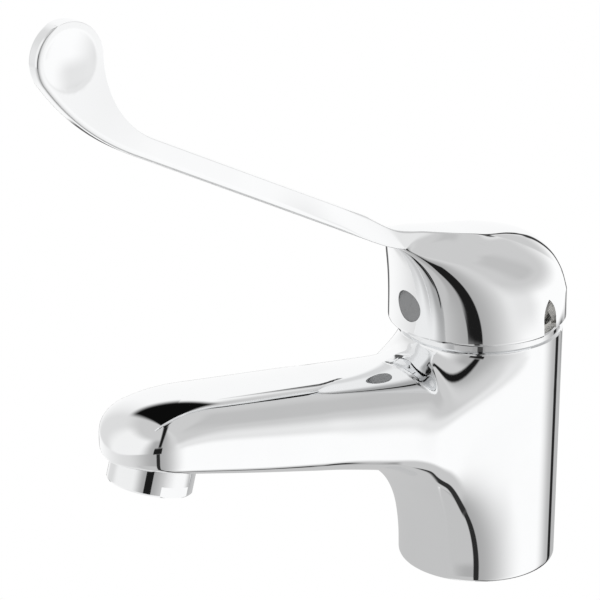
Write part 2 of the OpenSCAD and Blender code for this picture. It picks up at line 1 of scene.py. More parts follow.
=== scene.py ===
"""Looks of the elbow lever tap: smooth castings, chrome, plastic and rubber, and a plain white studio.

Sizes are in millimetres in the formulas and in metres in Blender. Forward is -Y, and r stands for -y.
"""
import json
import math

import bmesh
import bpy
import numpy as np
from mathutils import Matrix, Vector


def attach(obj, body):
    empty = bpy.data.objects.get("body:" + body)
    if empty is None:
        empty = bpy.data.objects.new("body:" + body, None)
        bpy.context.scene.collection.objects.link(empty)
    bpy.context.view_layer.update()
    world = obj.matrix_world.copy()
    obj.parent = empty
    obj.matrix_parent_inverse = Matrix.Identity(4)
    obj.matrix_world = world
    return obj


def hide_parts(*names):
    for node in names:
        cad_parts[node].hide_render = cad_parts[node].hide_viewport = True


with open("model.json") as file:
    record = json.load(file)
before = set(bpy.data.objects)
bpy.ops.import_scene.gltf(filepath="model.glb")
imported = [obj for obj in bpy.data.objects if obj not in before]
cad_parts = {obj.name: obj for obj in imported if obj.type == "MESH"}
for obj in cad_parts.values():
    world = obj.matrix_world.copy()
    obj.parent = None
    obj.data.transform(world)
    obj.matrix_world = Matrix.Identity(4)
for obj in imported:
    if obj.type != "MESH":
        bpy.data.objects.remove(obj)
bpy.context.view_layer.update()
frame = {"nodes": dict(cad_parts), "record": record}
MM = 0.001
TINY = 0.001


def mix(a, b, t):
    return a + (b - a) * t


def clamp01(t):
    return min(1.0, max(0.0, t))


def ease(t):
    c = clamp01(t)
    return c * c * (3 - 2 * c)


def root(x):
    return math.sqrt(max(0.0, x))


def round_max(a, b, n):
    return (a**n + b**n) ** (1 / n)


def close_ends(j, n):
    """Share of step j out of n, with the steps closer together at both ends."""
    return (1 - math.cos(math.pi * j / n)) / 2


def sin_d(a):
    return math.sin(math.radians(a))


def cos_d(a):
    return math.cos(math.radians(a))


def mesh_object(name, verts, faces):
    mesh = bpy.data.meshes.new(name)
    mesh.from_pydata([(x * MM, y * MM, z * MM) for x, y, z in verts], [], faces)
    mesh.validate()
    obj = bpy.data.objects.new(name, mesh)
    bpy.context.scene.collection.objects.link(obj)
    return obj


def turn_out(obj, merge=0.0, thin=0.0):
    """Merges points and drops edges within those distances in metres, then turns the faces outwards."""
    bm = bmesh.new()
    bm.from_mesh(obj.data)
    if merge > 0:
        bmesh.ops.remove_doubles(bm, verts=bm.verts, dist=merge)
    if thin > 0:
        bmesh.ops.dissolve_degenerate(bm, edges=bm.edges, dist=thin)
    bmesh.ops.recalc_face_normals(bm, faces=bm.faces)
    bm.to_mesh(obj.data)
    bm.free()
    return obj


def skin(name, rows):
    """A closed mesh from rows of half sections and their mirror image."""
    nu, nv = len(rows), len(rows[0])
    half = nu * nv
    verts = [p for row in rows for p in row]
    verts += [(-x, y, z) for x, y, z in verts]

    def right(i, j):
        return i * nv + j

    def left(i, j):
        return right(i, j) if rows[i][j][0] < TINY else half + i * nv + j

    faces = []

    def quad(*corners):
        ring = []
        for c in corners:
            if c not in ring:
                ring.append(c)
        if len(ring) > 2 and max(abs(verts[c][0]) for c in ring) > TINY:
            faces.append(ring)

    for i in range(nu - 1):
        for j in range(nv - 1):
            quad(right(i, j), right(i, j + 1), right(i + 1, j + 1), right(i + 1, j))
            quad(left(i, j), left(i + 1, j), left(i + 1, j + 1), left(i, j + 1))
        quad(right(i, 0), right(i + 1, 0), left(i + 1, 0), left(i, 0))
        k = nv - 1
        quad(right(i, k), left(i, k), left(i + 1, k), right(i + 1, k))
    for j in range(nv - 1):
        quad(right(0, j), left(0, j), left(0, j + 1), right(0, j + 1))
        k = nu - 1
        quad(right(k, j), right(k, j + 1), left(k, j + 1), left(k, j))
    return turn_out(mesh_object(name, verts, faces), merge=0.2e-6)


def settle(obj, rounds, pace, corner_share):
    """Evens out the blend between spout and column, and by a share the corner below it."""
    mesh = obj.data
    flat = np.empty(len(mesh.vertices) * 3)
    mesh.vertices.foreach_get("co", flat)
    p = flat.reshape(-1, 3) / MM
    ends = np.empty(len(mesh.edges) * 2, dtype=np.int32)
    mesh.edges.foreach_get("vertices", ends)
    a, b = ends.reshape(-1, 2).T
    count = np.bincount(ends, minlength=len(p))[:, None]

    def fade(x, start, end):
        t = np.clip((x - start) / (end - start), 0, 1)
        return t * t * (3 - 2 * t)

    r, z = -p[:, 1], p[:, 2]
    blend = fade(z, *blend_low) * fade(r, *blend_back) * fade(r, *blend_front)
    blend *= np.where(z < body_h - top_kept, 1, 0)
    corner = fade(z, *corner_low) * fade(z, *corner_high) * fade(r, *corner_back) * fade(r, *corner_front)
    share = (blend + corner_share * corner)[:, None]
    for _ in range(rounds):
        total = np.zeros_like(p)
        np.add.at(total, a, p[b])
        np.add.at(total, b, p[a])
        p += pace * share * (total / count - p)
    mesh.vertices.foreach_set("co", (p * MM).ravel())
    mesh.update()


def lathe(name, profile, steps=96):
    """A closed ring mesh from a closed profile of (radius, height) around the z axis."""
    verts, faces = [], []
    n = len(profile)
    for i in range(steps):
        a = 2 * math.pi * i / steps
        verts += [(r * math.cos(a), r * math.sin(a), z) for r, z in profile]
    for i in range(steps):
        k = (i + 1) % steps
        for j in range(n):
            m = (j + 1) % n
            faces.append((i * n + j, k * n + j, k * n + m, i * n + m))
    return turn_out(mesh_object(name, verts, faces), merge=0.2e-6, thin=0.1e-6)


def cylinder(name, r, z0, z1, place=Matrix(), steps=72):
    obj = lathe(name, [(0, z0), (r, z0), (r, z1), (0, z1)], steps)
    obj.data.transform(place)
    return obj


def shift(x, y, z):
    return Matrix.Translation((x * MM, y * MM, z * MM))


def cut(obj, *tools):
    """Takes the tools away from the object and deletes them."""
    for tool in tools:
        mod = obj.modifiers.new("cut", "BOOLEAN")
        mod.operation = "DIFFERENCE"
        mod.solver = "EXACT"
        mod.object = tool
    bpy.context.view_layer.update()
    dg = bpy.context.evaluated_depsgraph_get()
    mesh = bpy.data.meshes.new_from_object(obj.evaluated_get(dg))
    obj.modifiers.clear()
    old = obj.data
    obj.data = mesh
    bpy.data.meshes.remove(old)
    for tool in tools:
        bpy.data.objects.remove(tool)


def smooth(obj, angle=32):
    obj.data.shade_smooth()
    obj.data.set_sharp_from_angle(angle=math.radians(angle))


# Body: the contours in the side view and the half width at each place

base_r, top_r, body_h, base_edge = 24.0, 24.9, 75.0, 1.3
reach, outlet_h, outlet_tilt = 122.9, 56.5, 15.4
nose_r, nose_over, root_r, top_slope, root_drop = 16.5, 14.2, 21.5, 0.134, 3.0
fillet_z, fillet_r, fillet_bend = 4.0, 29.0, 1.9
aerator_show, aerator_r, aerator_deep, aerator_thread = 6.6, 12.2, 7.0, 11.0
nose_fall, nose_face, collar, collar_bend, collar_w, collar_deep = 16.0, 3.0, 8.0, 2.4, 16.0, 12.0
lip_slope = math.tan(math.radians(outlet_tilt))
seat_r = reach - aerator_show * sin_d(outlet_tilt)
seat_z = outlet_h + aerator_show * cos_d(outlet_tilt)
nose_end = seat_r + nose_over
nose_top = seat_r - nose_fall
collar_end = top_r + collar
root_top = body_h - root_drop
fillet_end = base_r + fillet_r
mid_r = reach / 2
top_bulge, root_bulge, nose_bulge, front_d, side_taper = 2.3, 4.0, 8.0, 20.0, 0.12
round_low, round_span = 18.0, 19.5
grow_start, grow_span, under_span = 4.0, 30.0, 24.0
spout_join, collar_join = 14, 6

# Where settle starts and where it is in full force: heights, then places along r
blend_low, blend_back, blend_front, top_kept = (40, 56), (2, 8), (74, 62), 0.05
corner_low, corner_high, corner_back, corner_front = (12, 20), (44, 40), (6, 12), (60, 50)


def column_r(z):
    return mix(base_r, top_r, clamp01(z / body_h))


def lip_z(r):
    return seat_z + lip_slope * (r - seat_r)


def ridge_line(r):
    return root_top + top_slope * (r - collar_end)


wall_r = column_r(fillet_z)
bend_z = lip_z(wall_r)
lip_start = lip_z(fillet_end)


def fillet_point(t):
    r = wall_r + (fillet_end - wall_r) * t**fillet_bend
    return r, (1 - t) ** 2 * fillet_z + 2 * t * (1 - t) * bend_z + t * t * lip_start


def top_share(z):
    """How far the column's front is round at a height: 0 where it runs on into the spout, 1 at the top."""
    return ease((z - root_top + round_low) / round_span)


def spout_top(r):
    if r < nose_top:
        return ridge_line(r)
    t = clamp01((r - nose_top) / (nose_end - nose_top))
    return mix(lip_z(nose_end) + nose_face, ridge_line(r), root(1 - t * t))


def spout_half(r):
    if r < seat_r:
        grown = ease((r - grow_start) / grow_span)
        return mix(root_r, nose_r, clamp01((r - base_r) / (seat_r - base_r))) * grown
    return nose_r * root(1 - ((r - seat_r) / nose_over) ** 2)


def rooted(z):
    """How far the column's front leaves the round towards the spout at a height."""
    return ease((z - fillet_z) / (lip_start - fillet_z)) * (1 - top_share(z))


def spout_v(r, z):
    """Share of the spout's height at a place, 0 at the underside and 1 at the top."""
    lo, hi = lip_z(r), spout_top(max(r, collar_end))
    return clamp01((z - lo) / (hi - lo))


def side_w(r, z):
    """Half width of column and spout together, without the rounding of the lower edge."""
    q = column_r(z)
    if r <= 0:
        column = root(q * q - r * r)
    else:
        front = mix(fillet_end, q, top_share(z))
        start = max(0.0, front - mix(q, front_d, rooted(z)))
        column = (q - side_taper * r * rooted(z)) * root(1 - (max(0.0, r - start) / (front - start)) ** 2)
    v = spout_v(r, z)
    spout = spout_half(r) * (root(1 - (2 * v - 1) ** top_bulge) if v > 0.5 else 1)
    return round_max(column, spout * ease((z - lip_z(r)) / under_span + 1), spout_join)


def edge_share(depth, full, p):
    """Rounding of the lower edge at a depth above it, for the depth where it ends."""
    return root(1 - max(0.0, 1 - depth / full) ** p)


def collar_r(z):
    return top_r + collar * (1 - clamp01((z - root_top) / root_drop) ** (1 / collar_bend))


def fillet_w(r, z):
    low = ease((z - root_top + collar_deep) / collar)
    return collar_w * ease(r / collar_w) * low * root(1 - (max(r, 0) / collar_r(z)) ** 2)


def body_w(r, z, low_edge):
    return round_max(side_w(r, z) * low_edge, fillet_w(r, z), collar_join)


turn_steps = 3000
turn_curve = np.array([fillet_point(i / turn_steps) for i in range(turn_steps + 1)])
spout_deep = (spout_top(fillet_end) - lip_start) / 2 * cos_d(outlet_tilt)


def turn_edge(r, z):
    """The rounding of the lower edge between column and spout, from the distance to its curve."""
    gaps = np.hypot(turn_curve[:, 0] - r, turn_curve[:, 1] - z)
    near = int(np.argmin(gaps))
    t = near / turn_steps
    return edge_share(float(gaps[near]), mix(wall_r, spout_deep, ease(t)), mix(2, root_bulge, t**3))


def spout_edge(r, z):
    p = mix(root_bulge, nose_bulge, ease((r - mid_r) / (seat_r - mid_r)))
    return edge_share(spout_v(r, z), 0.5, p)


def round_edge(r, z):
    return root(1 - (max(0.0, r) / column_r(z)) ** 2)


def body_rows(cells=72, edge=6, foot=3, back=22, top=44, col=20, spout=50, nose=26):
    """Half sections from the base to the nose, each from a low point to a high one in the side view."""
    stations = []
    for i in range(edge + 1):
        z = base_edge * (1 - cos_d(90 * i / edge))
        inset = base_edge * (1 - sin_d(90 * i / edge))
        stations.append(((column_r(z) - inset, z), (inset - column_r(z), z), inset, round_edge))
    for i in range(1, foot + 1):
        z = mix(base_edge, fillet_z, i / foot)
        stations.append(((column_r(z), z), (-column_r(z), z), 0, round_edge))
    path = [(-column_r(z), z) for z in (mix(fillet_z, body_h, i / back) for i in range(1, back + 1))]
    path += [(-top_r * cos_d(180 * i / top), body_h) for i in range(1, top + 1)]
    path += [(mix(top_r, collar_end, t), root_top + root_drop * (1 - t) ** collar_bend)
             for t in (i / col for i in range(1, col + 1))]
    for i, p in enumerate(path):
        t = (i + 1) / len(path)
        stations.append((fillet_point(t), p, 0, turn_edge))
    for i in range(1, spout + 1):
        a, b = mix(fillet_end, seat_r, i / spout), mix(collar_end, nose_top, i / spout)
        stations.append(((a, lip_z(a)), (b, spout_top(b)), 0, spout_edge))
    for i in range(1, nose + 1):
        t = sin_d(90 * i / nose)
        a, b = mix(seat_r, nose_end, t), mix(nose_top, nose_end, t)
        stations.append(((a, lip_z(a)), (b, spout_top(b)), 0, spout_edge))
    rows = []
    for low, high, inset, low_edge in stations:
        row = []
        for j in range(cells + 1):
            v = close_ends(j, cells)
            r, z = mix(low[0], high[0], v), mix(low[1], high[1], v)
            w = root((column_r(z) - inset) ** 2 - r * r) if inset > 0 else body_w(r, z, low_edge(r, z))
            row.append((0.0 if j == 0 else w, -r, z))
        rows.append(row)
    return rows


# Lever: four guide curves, from the front's middle over the side edge and the crease to the ridge

ring_h, rim_gap = 2.5, 0.5
ring_top = body_h + ring_h
rim_z = ring_top + rim_gap
rim_edge, shoulder = 1.1, 9.5
cap_r, cap_shift = 26.8, 1.3
cap_front, cap_back = cap_r + cap_shift, cap_r - cap_shift
bar_slope, bar_d, bar_w = 27.2, 6.1, 6.0
paddle_y, paddle_z, paddle_r, paddle_w, dish_r, dish_d = 145.6, 183.6, 10.3, 4.6, 8.2, 1.15
tip_start, tip_end, flare = 17.0, 89.0, 1.7
bar_tan = math.tan(math.radians(bar_slope))
bar_n = np.array((-sin_d(bar_slope), cos_d(bar_slope)))
bar_v = bar_d / cos_d(bar_slope)
bend_r, bend_tip, join_r, bend_back, bend_drop, top_edge = 122.0, 138.0, 46.0, 23.6, 28.6, 0.35
back_r, late_r, late_crease, late_ridge = -18.4, 36.0, 0.9, 0.4
square_by, even_by = 0.25, 0.5
edge_turn, edge_rise, root_w, join_w, join_top = 48.3, 30.0, 4.2, 4.1, 1.9
front_lean, lean_bend = 7.3, 2.5
edge_round, bar_round, crease_round, sharp_round, round_run = 0.7, 1.7, 0.5, 0.15, 12.0
back_share, crease_share, fan_share, round_share = 0.3, 0.8, 0.93, 0.7


def bar_mid(r):
    return paddle_z - bend_drop + bar_tan * (r - paddle_y + bend_back)


def under_bar(r):
    return bar_mid(r) - bar_v / 2


def top_bar(r):
    return bar_mid(r) + bar_v / 2


def cap_w(r):
    return root(cap_r**2 - (r - cap_shift) ** 2)


crease = np.array([
    [back_r, cap_w(back_r), shoulder], [-17.6, 16.6, 14.5], [-14, 15, 19], [-8, 12.2, 23.3], [0, 9.2, 27.2],
    [8, 7.2, 29.3], [16, 6.1, 31.1], [26, 4.7, 33.3], [late_r, 2.9, top_bar(late_r) - late_crease - rim_z],
    [join_r, join_top, top_bar(join_r) - rim_z]])
ridge = np.array([
    [-cap_back, shoulder], [-24.5, 15], [-21.5, 20], [-15, 24.6], [-6, 27.6], [4, 29.4], [14, 31.2],
    [26, 33.8], [late_r, top_bar(late_r) - late_ridge - rim_z], [join_r, top_bar(join_r) + top_edge - rim_z]])


def through(p, u):
    """Smooth curve through a list of points, u from 0 to 1."""
    n = len(p) - 1
    x = clamp01(u) * n
    i = min(int(x), n - 1)
    t = x - i
    a, b, c, d = p[max(i - 1, 0)], p[i], p[i + 1], p[min(i + 2, n)]
    return (2 * b + (c - a) * t + (2 * a - 5 * b + 4 * c - d) * t**2 + (3 * b - a - 3 * c + d) * t**3) / 2


def arc_rise(s, w, h):
    if h < TINY or w < TINY:
        return 1 - s
    q = (w * w + h * h) / (2 * h)
    return (root(q * q - w * w * s * s) - q + h) / h


def dish(r, z):
    return dish_d * max(0.0, 1 - ((r - paddle_y) ** 2 + (z - paddle_z) ** 2) / dish_r**2)


def turned(v):
    return np.array((-v[1], v[0])) / np.hypot(*v)


def lever_stations(rim=5, cap=76, fan=12, stem=26, bar=30, bend=44, tip=30):
    """Sections from the rim to the paddle's end.

    Each has a front point, the edge and the crease as (w, r, z), a ridge point, the middle of the side
    arc and its weight, and whether the side is dished.
    """
    out = []
    for i in range(rim + 1):
        z = rim_z + rim_edge * (1 - cos_d(90 * i / rim))
        q = cap_r - rim_edge * (1 - sin_d(90 * i / rim))
        c = np.array((cap_w(back_r) * q / cap_r, cap_shift + (back_r - cap_shift) * q / cap_r, z))
        b = np.array((q * sin_d(edge_turn), cap_shift + q * cos_d(edge_turn), z))
        out.append(((cap_shift + q, z), b, c, (cap_shift - q, z), *side_arc(b, c, 1.0), False))
    last = math.degrees(math.acos(root_w / (cap_r * sin_d(edge_turn))))
    for i in range(1, cap + 1):
        s = i / cap
        q = cap_r * cos_d(last * s)
        z = rim_z + max(rim_edge, edge_rise * sin_d(last * s))
        front = cap_front + front_lean * sin_d(last * s) ** lean_bend
        b = np.array((q * sin_d(edge_turn), front - q * (1 - cos_d(edge_turn)), z))
        u = max(0.0, (s - back_share) / (1 - back_share)) * crease_share
        c, k = through(crease, u), through(ridge, u)
        c = np.array((c[1], c[0], rim_z + c[2]))
        k = np.array((k[0], rim_z + k[1]))
        if s <= back_share:
            c[2] = k[1] = rim_z + mix(rim_edge, shoulder, s / back_share)
        share = 1 - ease((s - round_share) / (1 - round_share))
        out.append(((front, z), b, c, k, *side_arc(b, c, share), False))
    stem_r, stem_z = out[-1][0]
    b = out[-1][1]
    edge_r = b[1]
    for i in range(1, fan + 1):
        u = mix(crease_share, fan_share, i / fan)
        c, k = through(crease, u), through(ridge, u)
        c = np.array((c[1], c[0], rim_z + c[2]))
        out.append(((stem_r, stem_z), b, c, (k[0], rim_z + k[1]), *side_arc(b, c, 0.0), False))
    for i in range(1, stem + 1):
        u = i / stem
        r = mix(stem_r, join_r, u)
        z = under_bar(r) + (stem_z - under_bar(stem_r)) * (1 - u) ** 2
        b = np.array((mix(root_w, join_w, ease(u)), r - (stem_r - edge_r) * (1 - u) ** 4, z))
        c, k = through(crease, mix(fan_share, 1, u)), through(ridge, mix(fan_share, 1, u))
        c = np.array((c[1], c[0], rim_z + c[2]))
        out.append(((r, z), b, c, (k[0], rim_z + k[1]), *side_arc(b, c, 0.0), False))
    for i in range(1, bar + 1):
        m, s = mix(join_r, bend_r, i / bar), ease(i / bar / square_by)
        k = s * bar_d / 2
        a, d = m - bar_n[0] * k, m + bar_n[0] * k
        even = ease(i / bar / even_by)
        b = np.array((mix(join_w, bar_w / 2, even), a, under_bar(a)))
        c = np.array((mix(join_top, bar_w / 2, even), d, top_bar(d)))
        out.append((b[1:], b, c, c[1:] + bar_n * top_edge, *side_arc(b, c, 0.0), False))
    p0, p1 = np.array((bend_r, bar_mid(bend_r))), np.array((bend_tip, bar_mid(bend_tip)))
    p2 = np.array((paddle_y, paddle_z))
    n = turned(p2 - p1)
    d = np.array((n[1], -n[0]))
    p3 = p2 - d * paddle_r * sin_d(tip_start)

    def blade(p, n, h, w, edge):
        b, c = np.array((w, *(p - n * h))), np.array((w, *(p + n * h)))
        out.append((b[1:], b, c, c[1:] + n * edge, *side_arc(b, c, 0.0), True))

    for i in range(1, bend + 1):
        t = i / bend
        p = (1 - t) ** 2 * p0 + 2 * t * (1 - t) * p1 + t * t * p3
        m = turned((1 - t) * (p1 - p0) + t * (p3 - p1))
        h = mix(bar_d / 2, paddle_r * cos_d(tip_start), t**flare)
        blade(p, m, h, mix(bar_w, paddle_w, ease(t)) / 2, top_edge)
    for i in range(1, tip + 1):
        a = mix(-tip_start, tip_end, i / tip)
        blade(p2 + d * paddle_r * sin_d(a), n, paddle_r * cos_d(a), paddle_w / 2, top_edge * cos_d(a))
    return out


def side_arc(b, c, share):
    """Control point and weight of the arc from edge to crease, which leaves the front without a break."""
    d = c - b
    flat = math.hypot(d[0], d[1])
    turn = clamp01(abs(d[0] * sin_d(edge_turn) + d[1] * cos_d(edge_turn)) / max(flat, TINY))
    weight = max(0.5, root(1 - turn * turn))
    go = flat / (2 * weight) * np.array((cos_d(edge_turn), -sin_d(edge_turn), 0))
    middle = (b + c) / 2
    return mix(middle, b + go, share), mix(1, weight, share)


def spread(points, start, end, n, most=0.45):
    """A curve's points, trimmed at both ends by lengths up to a share and spread over n + 1 places."""
    p = np.array(points)
    away = np.concatenate(([0], np.cumsum(np.linalg.norm(np.diff(p, axis=0), axis=1))))
    full = away[-1]
    lo, hi = min(start, most * full), full - min(end, most * full)
    at = np.array([mix(lo, hi, j / n) for j in range(n + 1)])
    return np.stack([np.interp(at, away, p[:, k]) for k in range(3)], axis=1)


def rounded(a, corner, b, n):
    """The n - 1 points between a and b on the round that replaces a corner."""
    return [(1 - t) ** 2 * a + 2 * t * (1 - t) * corner + t * t * b for t in (j / n for j in range(1, n))]


def lever_rows(front=20, side=50, top=22, corner=6, fine=120):
    """Half sections from the front over the side to the ridge, with the edge and the crease rounded."""
    rows = []
    for l, b, c, k, m, weight, dished in lever_stations():
        first, middle, last = [], [], []
        for j in range(fine + 1):
            v = j / fine
            a = edge_turn * v
            g = (1 - cos_d(a)) / (1 - cos_d(edge_turn))
            first.append((b[0] * sin_d(a) / sin_d(edge_turn), mix(l[0], b[1], g), mix(l[1], b[2], g)))
            f, g, h = (1 - v) ** 2, 2 * v * (1 - v) * weight, v * v
            w, r, z = (f * b + g * m + h * c) / (f + g + h)
            middle.append((w - dish(r, z) if dished else w, r, z))
            s = cos_d(90 * v)
            g = arc_rise(s, c[0], math.hypot(k[0] - c[1], k[1] - c[2]))
            last.append((c[0] * s, mix(c[1], k[0], g), mix(c[2], k[1], g)))
        on_bar = ease((l[0] - join_r) / round_run)
        low_round = mix(edge_round, bar_round, on_bar)
        high_round = mix(crease_round, sharp_round, on_bar)
        one = spread(first, 0, low_round, front)
        two = spread(middle, low_round, high_round, side)
        three = spread(last, high_round, 0, top)
        line = [*one, *rounded(one[-1], np.array(middle[0]), two[0], corner), *two]
        line += [*rounded(two[-1], np.array(middle[-1]), three[0], corner), *three]
        row = [(w, -r, z) for w, r, z in line]
        row[0] = (0.0, row[0][1], row[0][2])
        row[-1] = (0.0, row[-1][1], row[-1][2])
        rows.append(row)
    return rows


# The two castings with their sockets

at_outlet = shift(0, -seat_r, seat_z) @ Matrix.Rotation(math.radians(-outlet_tilt), 4, "X")
to_back = Matrix.Rotation(math.radians(-90), 4, "X")
socket_z, cart_r, nut_r, nut_low, fit = 46.0, 17.5, 20.5, 63.5, 0.05
groove_in, groove_out, groove_h, below = 18.9, 22.1, 2.0, -0.5
inlet_r, inlet_x, inlet_y, inlet_h = 4.5, 7.0, 4.0, 14.0
stud_r, stud_y, stud_h, thread_end = 3.4, -13.0, 22.0, 1.6
ring_low, ring_high, over = -2.0, 3.0, 1.0
groove = [(groove_in, below), (groove_out, below), (groove_out, groove_h), (groove_in, groove_h)]

body = skin("body_cast", body_rows())
settle(body, rounds=60, pace=0.5, corner_share=0.35)
cut(
    body,
    cylinder("cut_socket", cart_r + fit, socket_z, body_h + over),
    cylinder("cut_nut", nut_r + fit, nut_low, body_h + over),
    lathe("cut_groove", groove),
    cylinder("cut_inlet_right", inlet_r, below, inlet_h, shift(inlet_x, inlet_y, 0)),
    cylinder("cut_inlet_left", inlet_r, below, inlet_h, shift(-inlet_x, inlet_y, 0)),
    cylinder("cut_stud", stud_r, below, stud_h, shift(0, stud_y, 0)),
    cylinder("cut_ring", aerator_r + fit, ring_low, ring_high, at_outlet),
    cylinder("cut_thread", aerator_thread + fit, 0, aerator_deep + thread_end, at_outlet),
)
smooth(body)

hollow_r, hollow_tip, hollow_wall, hollow_h, boss_r, boss_up = 24.3, 10.0, 4.0, 19.0, 7.8, 4.5
plug_r, plug_up, plug_in, plug_h = 4.9, 9.5, 0.2, 1.1
notch_y, notch_w, notch_h, notch_in, notch_out, tail_lift, far = 4.6, 6.0, 11.0, 15.0, 35.0, 1.5, 60.0
hollow = [
    (0, rim_z - over), (hollow_r, rim_z - over), (hollow_r, rim_z + hollow_wall),
    (hollow_tip, rim_z + hollow_h), (boss_r, rim_z + hollow_h), (boss_r, rim_z + boss_up),
    (0, rim_z + boss_up)]
at_plug = shift(0, 0, rim_z + plug_up) @ to_back


def arch_points(w, h, bow=1.25, steps=14):
    """A pointed arch, its arcs of radius bow times its width, from the right foot to the left foot."""
    spring, q = h - w, bow * w
    centre = q - w / 2
    angles = [math.degrees(math.acos(centre / q)) * i / steps for i in range(steps + 1)]
    right_side = [(q * cos_d(a) - centre, spring + q * sin_d(a)) for a in angles]
    left_side = [(-x, z) for x, z in right_side[:-1]]
    return [(w / 2, -w)] + right_side + left_side[::-1] + [(-w / 2, -w)]


def notch(side):
    """The tool for the arched notch in the rim, right for 1 and left for -1."""
    shape = arch_points(notch_w, notch_h)
    n = len(shape)
    verts = [(side * x, notch_y + y, rim_z + z) for x in (notch_in, notch_out) for y, z in shape]
    faces = [tuple(range(n)), tuple(range(2 * n - 1, n - 1, -1))]
    faces += [(i, i + n, (i + 1) % n + n, (i + 1) % n) for i in range(n)]
    return turn_out(mesh_object("notch", verts, faces))


def box(name, x0, x1, y0, y1, z0, z1):
    verts = [(x, y, z) for x in (x0, x1) for y in (y0, y1) for z in (z0, z1)]
    faces = [(0, 1, 3, 2), (4, 6, 7, 5), (0, 4, 5, 1), (2, 3, 7, 6), (0, 2, 6, 4), (1, 5, 7, 3)]
    return mesh_object(name, verts, faces)


lever = skin("lever_cast", lever_rows())
cut(
    lever,
    lathe("cut_hollow", hollow),
    notch(1),
    notch(-1),
    box("cut_tail", -far, far, notch_y, far, rim_z - over, rim_z + tail_lift),
    cylinder("cut_plug", plug_r + fit, -far, plug_in + plug_h - cap_front, at_plug),
)
smooth(lever)

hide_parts("body")
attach(body, "tap")
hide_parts("lever_handle")
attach(lever, "lever")

# Materials

noise_detail, ramp_start, ramp_end, relief_m, tint_share = 4, 0.3, 0.7, 0.0002, 0.06


def material(name, color, metallic, rough, rough_span, scale, bump=0.0, tint=tint_share):
    """A shader whose colour, gloss and relief vary with noise of a given scale."""
    mat = bpy.data.materials.new(name)
    mat.use_nodes = True
    nodes, links = mat.node_tree.nodes, mat.node_tree.links
    shader = nodes["Principled BSDF"]
    shader.inputs["Metallic"].default_value = metallic
    coord = nodes.new("ShaderNodeTexCoord")
    noise = nodes.new("ShaderNodeTexNoise")
    noise.inputs["Scale"].default_value = scale
    noise.inputs["Detail"].default_value = noise_detail
    links.new(coord.outputs["Object"], noise.inputs["Vector"])
    ramp = nodes.new("ShaderNodeValToRGB")
    dark = [c * (1 - tint) for c in color]
    ramp.color_ramp.elements[0].position = ramp_start
    ramp.color_ramp.elements[0].color = (*dark, 1)
    ramp.color_ramp.elements[1].position = ramp_end
    ramp.color_ramp.elements[1].color = (*color, 1)
    links.new(noise.outputs["Fac"], ramp.inputs["Fac"])
    links.new(ramp.outputs["Color"], shader.inputs["Base Color"])
    span = nodes.new("ShaderNodeMapRange")
    span.inputs["To Min"].default_value = rough
    span.inputs["To Max"].default_value = rough + rough_span
    links.new(noise.outputs["Fac"], span.inputs["Value"])
    links.new(span.outputs["Result"], shader.inputs["Roughness"])
    if bump > 0:
        relief = nodes.new("ShaderNodeBump")
        relief.inputs["Strength"].default_value = bump
        relief.inputs["Distance"].default_value = relief_m
        links.new(noise.outputs["Fac"], relief.inputs["Height"])
        links.new(relief.outputs["Normal"], shader.inputs["Normal"])
    return mat


# Each: name, colour, metallic, roughness and its span, noise scale, then relief and tint where they differ
finishes = (
    ("chrome_cast", (0.94, 0.945, 0.95), 1, 0.02, 0.02, 60, 0, 0.015),
    ("chrome_trim", (0.92, 0.925, 0.93), 1, 0.03, 0.03, 90, 0, 0.02),
    ("rubber_seal", (0.04, 0.04, 0.042), 0, 0.6, 0.2, 900, 0.3),
    ("insert_plastic", (0.62, 0.63, 0.64), 0, 0.4, 0.15, 700, 0.1),
    ("cartridge_plastic", (0.8, 0.8, 0.77), 0, 0.4, 0.15, 600, 0.1),
    ("carrier_plastic", (0.12, 0.24, 0.45), 0, 0.4, 0.15, 600, 0.1),
    ("ceramic", (0.9, 0.89, 0.86), 0, 0.15, 0.1, 500, 0.05),
    ("brass_bare", (0.66, 0.65, 0.62), 1, 0.42, 0.06, 80),
    ("steel_small", (0.45, 0.45, 0.47), 1, 0.25, 0.12, 700, 0.05),
    ("plug_plastic", (0.34, 0.345, 0.35), 0, 0.24, 0.1, 800, 0.08),
)
looks = {finish[0]: material(*finish) for finish in finishes}
slots = {s["node"]: s["material_slot"] for s in frame["record"]["subparts"]}
for name, obj in frame["nodes"].items():
    obj.data.materials.clear()
    obj.data.materials.append(looks[slots[name]])
for obj in (body, lever):
    obj.data.materials.clear()
    obj.data.materials.append(looks["chrome_cast"])

# A white studio: pale walls with dark gaps, which the chrome shows
# turn and lift are degrees sideways from the camera and up from level, and 1 is white

camera_turn = 48.0
# Levels of the walls beside the camera, of the grey shade painted on the floor, and of the dark strips
near_level, floor_shade_level, strip_level = 0.42, 0.57, 0.03
world = bpy.data.worlds.new("studio")
bpy.context.scene.world = world
world.use_nodes = True
nodes, links = world.node_tree.nodes, world.node_tree.links
nodes.clear()
output = nodes.new("ShaderNodeOutputWorld")
coord = nodes.new("ShaderNodeTexCoord")


def value(kind, *inputs):
    """The output of a Math node in the current tree."""
    node = nodes.new("ShaderNodeMath")
    node.operation = kind
    for slot, x in zip(node.inputs, inputs):
        if isinstance(x, (int, float)):
            slot.default_value = x
        else:
            links.new(x, slot)
    return node.outputs[0]


def along(direction):
    """How far the world's direction points along a given one, from -1 to 1."""
    node = nodes.new("ShaderNodeVectorMath")
    node.operation = "DOT_PRODUCT"
    links.new(coord.outputs["Generated"], node.inputs[0])
    node.inputs[1].default_value = direction
    return node.outputs["Value"]


